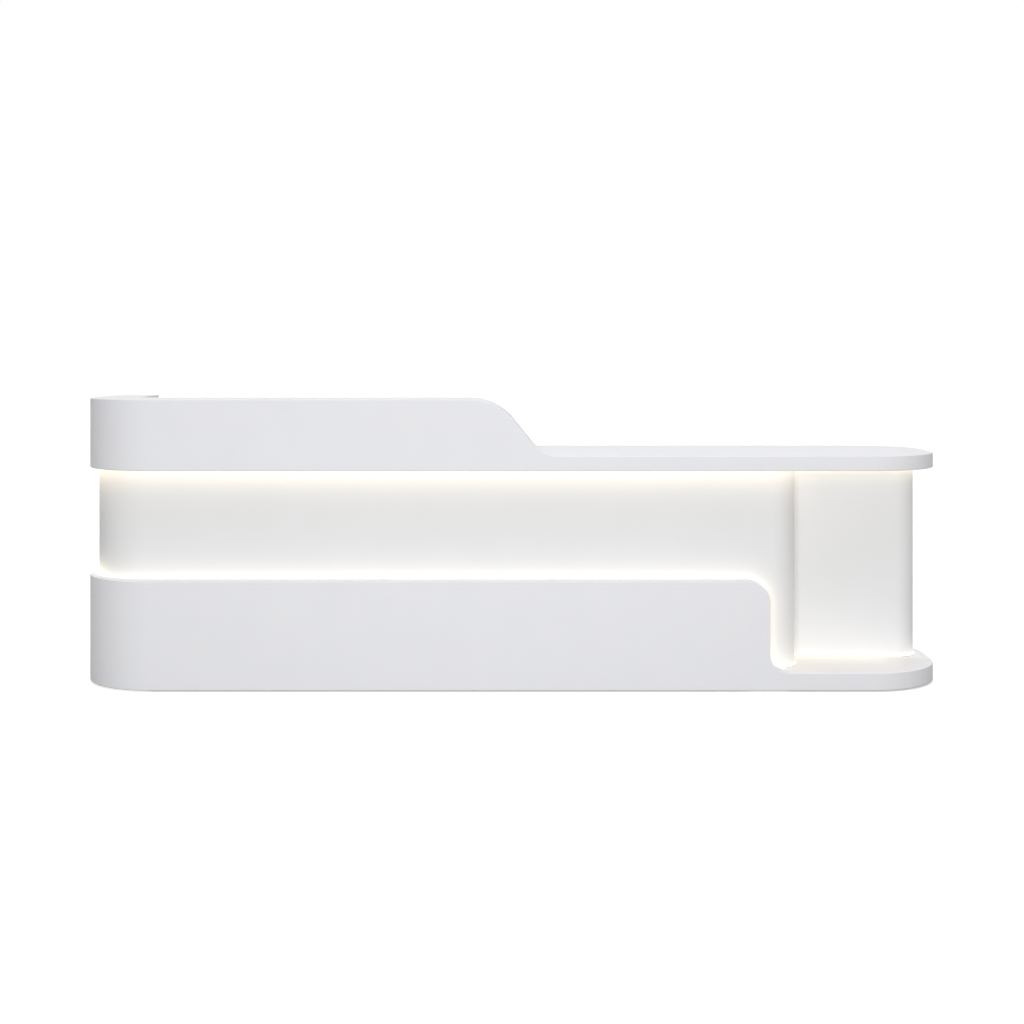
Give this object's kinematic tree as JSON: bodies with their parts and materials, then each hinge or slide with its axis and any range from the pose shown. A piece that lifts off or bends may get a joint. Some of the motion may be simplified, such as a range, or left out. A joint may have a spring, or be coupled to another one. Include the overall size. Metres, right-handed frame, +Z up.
{
  "type": "reception desk",
  "caption": "White reception desk with a swooping upper ledge, low counter, recessed panel, stepped plinth, pedestal, light lines, and staff-side drawers and cupboard.",
  "frame": {"origin": "on the floor, under the middle of the desk's bounding box", "axes": "+X along the desk to the visitor's right, +Y from the visitor's side to the staff side, +Z up"},
  "size_m": [3, 0.6, 1],
  "materials": {
    "solid_surface": "white acrylic solid surface, satin",
    "white_lacquer": "white lacquered board, satin",
    "opal_light": "opal diffuser, lit warm white",
    "melamine_board": "pale grey-white melamine, fine pearl",
    "plywood": "clear birch plywood",
    "aluminium": "natural anodised",
    "steel": "satin nickel",
    "black_plastic": "moulded black"
  },
  "bodies": {
    "desk": {"counter_shell": "solid_surface", "low_counter": "solid_surface", "front_panel": "white_lacquer", "plinth_shell": "solid_surface", "base_ledge": "solid_surface", "pedestal_column": "white_lacquer", "soffit_led_diffuser": "opal_light", "soffit_led_channel": "aluminium", "plinth_led_diffuser": "opal_light", "plinth_led_channel": "aluminium", "pedestal_foot_diffuser": "opal_light", "pedestal_head_diffuser": "opal_light", "staff_worktop": "melamine_board", "left_end_panel": "melamine_board", "worktop_cleat": "plywood", "cable_grommet": "black_plastic", "ledge_bracket_1": "steel", "ledge_bracket_2": "steel", "plinth_batten": "plywood", "storage_side_left": "melamine_board", "storage_side_right": "melamine_board", "storage_divider": "melamine_board", "storage_bottom": "melamine_board", "storage_back": "melamine_board", "kick_board": "melamine_board", "cupboard_shelf": "melamine_board", "drawer_1_runner_left": "steel", "drawer_1_runner_right": "steel", "drawer_2_runner_left": "steel", "drawer_2_runner_right": "steel", "drawer_3_runner_left": "steel", "drawer_3_runner_right": "steel", "hinge_lower_base": "steel", "hinge_upper_base": "steel", "led_driver": "aluminium", "glide_1": "black_plastic", "glide_2": "black_plastic", "glide_3": "black_plastic", "glide_4": "black_plastic", "glide_5": "black_plastic", "glide_6": "black_plastic"},
    "drawer_1": {"drawer_1_front": "white_lacquer", "drawer_1_box": "plywood", "drawer_1_pull": "steel", "drawer_1_rail_left": "steel", "drawer_1_rail_right": "steel"},
    "drawer_2": {"drawer_2_front": "white_lacquer", "drawer_2_box": "plywood", "drawer_2_pull": "steel", "drawer_2_rail_left": "steel", "drawer_2_rail_right": "steel"},
    "drawer_3": {"drawer_3_front": "white_lacquer", "drawer_3_box": "plywood", "drawer_3_pull": "steel", "drawer_3_rail_left": "steel", "drawer_3_rail_right": "steel"},
    "door": {"door": "white_lacquer", "door_pull": "steel", "hinge_lower_leaf": "steel", "hinge_upper_leaf": "steel"}
  },
  "joints": [
    {"name": "drawer_1_slide", "type": "slide", "parent": "desk", "child": "drawer_1", "axis": [0, 1, 0], "range_m": [0, 0.28]},
    {"name": "drawer_2_slide", "type": "slide", "parent": "desk", "child": "drawer_2", "axis": [0, 1, 0], "range_m": [0, 0.28]},
    {"name": "drawer_3_slide", "type": "slide", "parent": "desk", "child": "drawer_3", "axis": [0, 1, 0], "range_m": [0, 0.28]},
    {"name": "door_hinge", "type": "hinge", "parent": "desk", "child": "door", "pos_m": [0.9797, 0.2483, 0.4], "axis": [0, 0, -1], "range_deg": [0, 105]}
  ]
}
